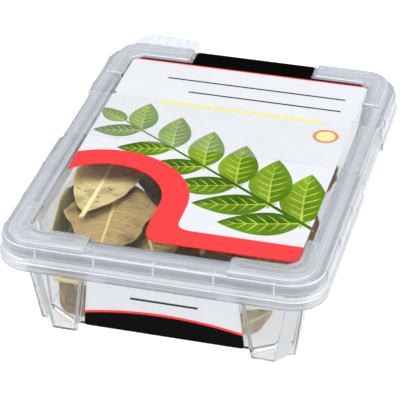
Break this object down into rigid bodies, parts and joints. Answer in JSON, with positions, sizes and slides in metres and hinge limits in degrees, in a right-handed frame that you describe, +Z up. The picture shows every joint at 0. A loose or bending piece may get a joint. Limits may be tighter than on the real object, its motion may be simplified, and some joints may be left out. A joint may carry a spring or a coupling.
{
  "type": "tub of dried bay leaves",
  "caption": "Clear rectangular snap-lid tub on corner feet, with a windowed lid label, a front label and a clear seal band, filled with loose dried bay leaves.",
  "frame": {"origin": "on the surface the tub stands on, under the middle of the whole outline with the lift tab counted in", "axes": "+Z up, +Y along the length towards the lift tab, +X to the right as seen from the labelled front"},
  "size_m": [0.11, 0.1536, 0.0403],
  "materials": {
    "clear_plastic": "clear moulded polypropylene",
    "label": "printed label with a satin face",
    "film": "clear shrink film",
    "leaf": "dried leaf, matt with a faint sheen"
  },
  "bodies": {
    "root": {"front_label": "label", "leaf_01": "leaf", "leaf_02": "leaf", "leaf_03": "leaf", "leaf_04": "leaf", "leaf_05": "leaf", "leaf_06": "leaf", "leaf_07": "leaf", "leaf_08": "leaf", "leaf_09": "leaf", "leaf_10": "leaf", "leaf_11": "leaf", "leaf_12": "leaf", "leaf_13": "leaf", "leaf_14": "leaf", "leaf_15": "leaf", "leaf_16": "leaf", "leaf_17": "leaf", "leaf_18": "leaf", "leaf_19": "leaf", "leaf_20": "leaf", "leaf_21": "leaf", "leaf_22": "leaf", "leaf_23": "leaf", "leaf_24": "leaf", "leaf_25": "leaf", "lid": "clear_plastic", "lid_label": "label", "seal_band": "film", "tub": "clear_plastic"}
  },
  "joints": []
}
